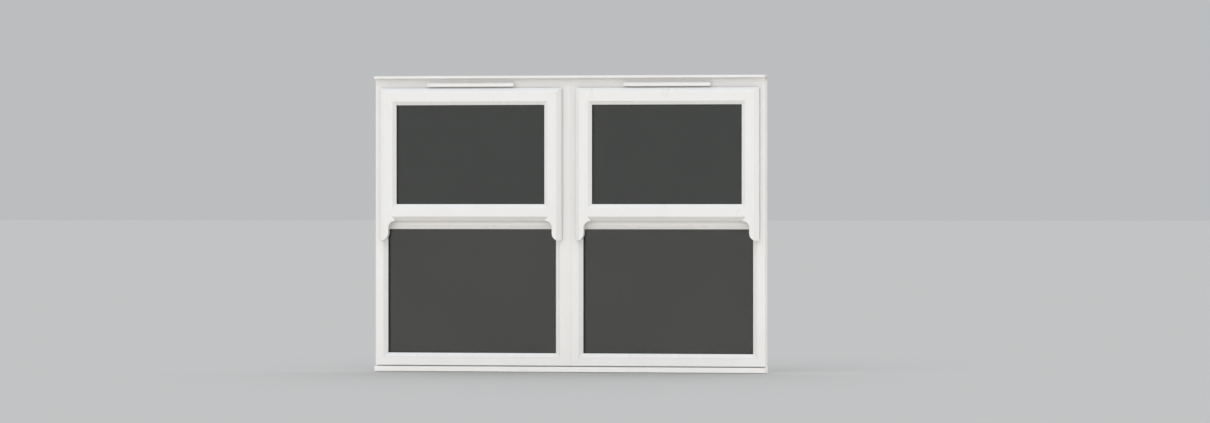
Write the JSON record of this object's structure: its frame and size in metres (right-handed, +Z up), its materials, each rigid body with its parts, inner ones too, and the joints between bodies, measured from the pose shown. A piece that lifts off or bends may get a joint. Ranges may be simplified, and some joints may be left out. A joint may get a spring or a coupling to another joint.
{
  "type": "sash window",
  "caption": "White plastic mock sash windows joined side by side, each with a top-hung opening sash with run-through horns over a fixed light.",
  "frame": {"origin": "middle of the sill's underside, in the plane of the frames' outside faces", "axes": "+X to the right seen from outside, +Y into the room, +Z up"},
  "size_m": [1.8, 0.121, 1.345],
  "materials": {
    "frame_plastic": "smooth white uPVC",
    "sash_plastic": "smooth white uPVC",
    "bead_plastic": "smooth white uPVC",
    "sill_plastic": "smooth white uPVC",
    "head_drip_plastic": "smooth white uPVC",
    "coupler_plastic": "smooth white uPVC",
    "vent_plastic": "smooth white moulding",
    "glass": "clear float glass",
    "spacer_bar": "black warm-edge bar and sealant",
    "gasket_rubber": "black extruded rubber",
    "seal_rubber": "black extruded rubber",
    "stay_steel": "satin stainless steel",
    "track_steel": "satin stainless steel",
    "shoe_plastic": "black nylon",
    "handle_paint": "white powder coat",
    "bolt_zinc": "zinc plated",
    "keep_zinc": "zinc plated"
  },
  "bodies": {
    "window_frame": {"sill": "sill_plastic", "sill_end_caps": "sill_plastic", "coupler": "coupler_plastic", "head_drip": "head_drip_plastic", "left_frame": "frame_plastic", "left_transom": "frame_plastic", "left_head_extender": "frame_plastic", "left_vent_canopy": "vent_plastic", "left_vent_cover": "vent_plastic", "left_fixed_beads": "bead_plastic", "left_fixed_gaskets": "gasket_rubber", "left_fixed_outer_pane": "glass", "left_fixed_inner_pane": "glass", "left_fixed_spacer": "spacer_bar", "left_weather_seal": "seal_rubber", "left_stay_tracks": "track_steel", "left_keeps": "keep_zinc", "right_frame": "frame_plastic", "right_transom": "frame_plastic", "right_head_extender": "frame_plastic", "right_vent_canopy": "vent_plastic", "right_vent_cover": "vent_plastic", "right_fixed_beads": "bead_plastic", "right_fixed_gaskets": "gasket_rubber", "right_fixed_outer_pane": "glass", "right_fixed_inner_pane": "glass", "right_fixed_spacer": "spacer_bar", "right_weather_seal": "seal_rubber", "right_stay_tracks": "track_steel", "right_keeps": "keep_zinc"},
    "left_sash_frame": {"left_sash": "sash_plastic", "left_sash_bottom_rail": "sash_plastic", "left_sash_beads": "bead_plastic", "left_sash_gaskets": "gasket_rubber", "left_sash_outer_pane": "glass", "left_sash_inner_pane": "glass", "left_sash_spacer": "spacer_bar", "left_stay_bars": "stay_steel", "left_handle_base": "handle_paint"},
    "left_outer_arm": {"left_outer_stay_arm": "stay_steel"},
    "left_inner_arm": {"left_inner_stay_arm": "stay_steel"},
    "left_outer_shoe": {"left_outer_stay_shoe": "shoe_plastic"},
    "left_inner_shoe": {"left_inner_stay_shoe": "shoe_plastic"},
    "left_handle_lever": {"left_handle": "handle_paint"},
    "left_bolt_bar": {"left_sliding_bolt": "bolt_zinc"},
    "right_sash_frame": {"right_sash": "sash_plastic", "right_sash_bottom_rail": "sash_plastic", "right_sash_beads": "bead_plastic", "right_sash_gaskets": "gasket_rubber", "right_sash_outer_pane": "glass", "right_sash_inner_pane": "glass", "right_sash_spacer": "spacer_bar", "right_stay_bars": "stay_steel", "right_handle_base": "handle_paint"},
    "right_outer_arm": {"right_outer_stay_arm": "stay_steel"},
    "right_inner_arm": {"right_inner_stay_arm": "stay_steel"},
    "right_outer_shoe": {"right_outer_stay_shoe": "shoe_plastic"},
    "right_inner_shoe": {"right_inner_stay_shoe": "shoe_plastic"},
    "right_handle_lever": {"right_handle": "handle_paint"},
    "right_bolt_bar": {"right_sliding_bolt": "bolt_zinc"}
  },
  "joints": [
    {"name": "left_outer_arm_pivot", "type": "hinge", "parent": "window_frame", "child": "left_outer_arm", "pos_m": [-0.8525, 0.012, 0.9705], "axis": [1, 0, 0], "range_deg": [0, 20]},
    {"name": "left_sash_opening", "type": "hinge", "parent": "left_outer_arm", "child": "left_sash_frame", "pos_m": [-0.8525, 0.012, 1.1205], "axis": [-1, 0, 0], "range_deg": [0, 40]},
    {"name": "left_inner_arm_pivot", "type": "hinge", "parent": "window_frame", "child": "left_inner_arm", "pos_m": [-0.0525, 0.012, 0.9705], "axis": [1, 0, 0], "range_deg": [0, 20]},
    {"name": "left_outer_shoe_pivot", "type": "hinge", "parent": "left_sash_frame", "child": "left_outer_shoe", "pos_m": [-0.8525, 0.012, 1.2705], "axis": [1, 0, 0], "range_deg": [0, 20]},
    {"name": "left_inner_shoe_pivot", "type": "hinge", "parent": "left_sash_frame", "child": "left_inner_shoe", "pos_m": [-0.0525, 0.012, 1.2705], "axis": [1, 0, 0], "range_deg": [0, 20]},
    {"name": "left_handle_turn", "type": "hinge", "parent": "left_sash_frame", "child": "left_handle_lever", "pos_m": [-0.4525, 0.047, 0.73325], "axis": [0, -1, 0], "range_deg": [0, 90]},
    {"name": "left_bolt_slide", "type": "slide", "parent": "left_sash_frame", "child": "left_bolt_bar", "axis": [1, 0, 0], "range_m": [0, 0.01801]},
    {"name": "right_outer_arm_pivot", "type": "hinge", "parent": "window_frame", "child": "right_outer_arm", "pos_m": [0.8525, 0.012, 0.9705], "axis": [1, 0, 0], "range_deg": [0, 20]},
    {"name": "right_sash_opening", "type": "hinge", "parent": "right_outer_arm", "child": "right_sash_frame", "pos_m": [0.8525, 0.012, 1.1205], "axis": [-1, 0, 0], "range_deg": [0, 40]},
    {"name": "right_inner_arm_pivot", "type": "hinge", "parent": "window_frame", "child": "right_inner_arm", "pos_m": [0.0525, 0.012, 0.9705], "axis": [1, 0, 0], "range_deg": [0, 20]},
    {"name": "right_outer_shoe_pivot", "type": "hinge", "parent": "right_sash_frame", "child": "right_outer_shoe", "pos_m": [0.8525, 0.012, 1.2705], "axis": [1, 0, 0], "range_deg": [0, 20]},
    {"name": "right_inner_shoe_pivot", "type": "hinge", "parent": "right_sash_frame", "child": "right_inner_shoe", "pos_m": [0.0525, 0.012, 1.2705], "axis": [1, 0, 0], "range_deg": [0, 20]},
    {"name": "right_handle_turn", "type": "hinge", "parent": "right_sash_frame", "child": "right_handle_lever", "pos_m": [0.4525, 0.047, 0.73325], "axis": [0, 1, 0], "range_deg": [0, 90]},
    {"name": "right_bolt_slide", "type": "slide", "parent": "right_sash_frame", "child": "right_bolt_bar", "axis": [1, 0, 0], "range_m": [0, 0.01801]}
  ],
  "couplings": [
    {"joint": "left_outer_arm_pivot", "follows": "left_sash_opening", "ratio": 0.5},
    {"joint": "left_inner_arm_pivot", "follows": "left_sash_opening", "ratio": 0.5},
    {"joint": "left_outer_shoe_pivot", "follows": "left_sash_opening", "ratio": 0.5},
    {"joint": "left_inner_shoe_pivot", "follows": "left_sash_opening", "ratio": 0.5},
    {"joint": "left_bolt_slide", "follows": "left_handle_turn", "m_per_rad": 0.01146},
    {"joint": "right_outer_arm_pivot", "follows": "right_sash_opening", "ratio": 0.5},
    {"joint": "right_inner_arm_pivot", "follows": "right_sash_opening", "ratio": 0.5},
    {"joint": "right_outer_shoe_pivot", "follows": "right_sash_opening", "ratio": 0.5},
    {"joint": "right_inner_shoe_pivot", "follows": "right_sash_opening", "ratio": 0.5},
    {"joint": "right_bolt_slide", "follows": "right_handle_turn", "m_per_rad": 0.01146}
  ]
}
